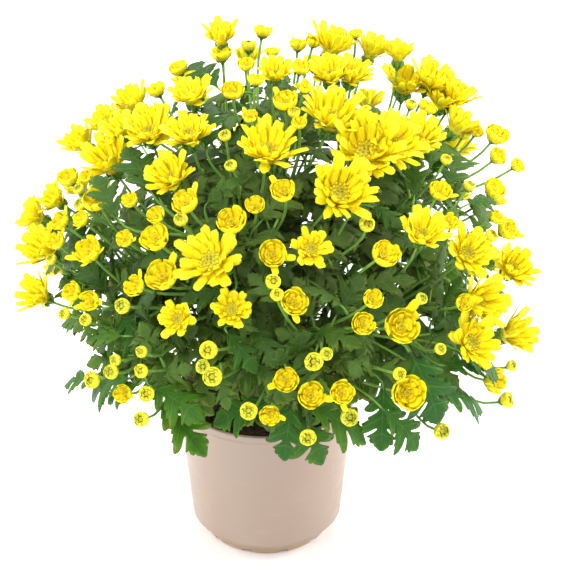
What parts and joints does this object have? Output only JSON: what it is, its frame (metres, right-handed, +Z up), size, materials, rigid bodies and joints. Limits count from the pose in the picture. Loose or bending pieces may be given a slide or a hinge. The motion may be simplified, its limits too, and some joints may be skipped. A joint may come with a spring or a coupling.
{
  "type": "pot chrysanthemum",
  "caption": "Small-flowered yellow chrysanthemum grown as a dome of open heads, half-open heads and buds over lobed leaves, in a plain round plastic pot.",
  "frame": {"origin": "centre of the pot's flat underside, which rests on the surface", "axes": "+Z up along the pot's axis; -Y is the show side; +X is to the right seen from the show side"},
  "size_m": [0.3956, 0.3888, 0.3998],
  "materials": {
    "pot": "satin",
    "soil": "matte",
    "foliage": "satin",
    "petals": "matte"
  },
  "bodies": {
    "root": {"pot": "pot", "soil": "soil", "leafy_stem_1": "foliage", "leafy_stem_2": "foliage", "leafy_stem_3": "foliage", "leafy_stem_4": "foliage", "leafy_stem_5": "foliage", "leafy_stem_6": "foliage", "leafy_stem_7": "foliage", "leafy_stem_8": "foliage", "leafy_stem_9": "foliage", "leafy_stem_10": "foliage", "bloom_1": "petals", "bloom_2": "petals", "bloom_3": "petals", "bloom_4": "petals", "bloom_5": "petals", "bloom_6": "petals", "bloom_7": "petals", "bloom_8": "petals", "bloom_9": "petals", "bloom_10": "petals", "bloom_11": "petals", "bloom_12": "petals", "bloom_13": "petals", "bloom_14": "petals", "bloom_15": "petals", "bloom_16": "petals", "bloom_17": "petals", "bloom_18": "petals", "bloom_19": "petals", "bloom_20": "petals", "bloom_21": "petals", "bloom_22": "petals", "bloom_23": "petals", "bloom_24": "petals", "bloom_25": "petals", "bloom_26": "petals", "bloom_27": "petals", "bloom_28": "petals", "bloom_29": "petals", "bloom_30": "petals", "bloom_31": "petals", "bloom_32": "petals", "bloom_33": "petals", "bloom_34": "petals", "bloom_35": "petals", "bloom_36": "petals", "bloom_37": "petals", "bloom_38": "petals", "bloom_39": "petals", "bloom_40": "petals", "bloom_41": "petals", "bloom_42": "petals", "bloom_43": "petals", "bloom_44": "petals", "bloom_45": "petals", "bloom_46": "petals", "bloom_47": "petals", "bloom_48": "petals"}
  },
  "joints": []
}
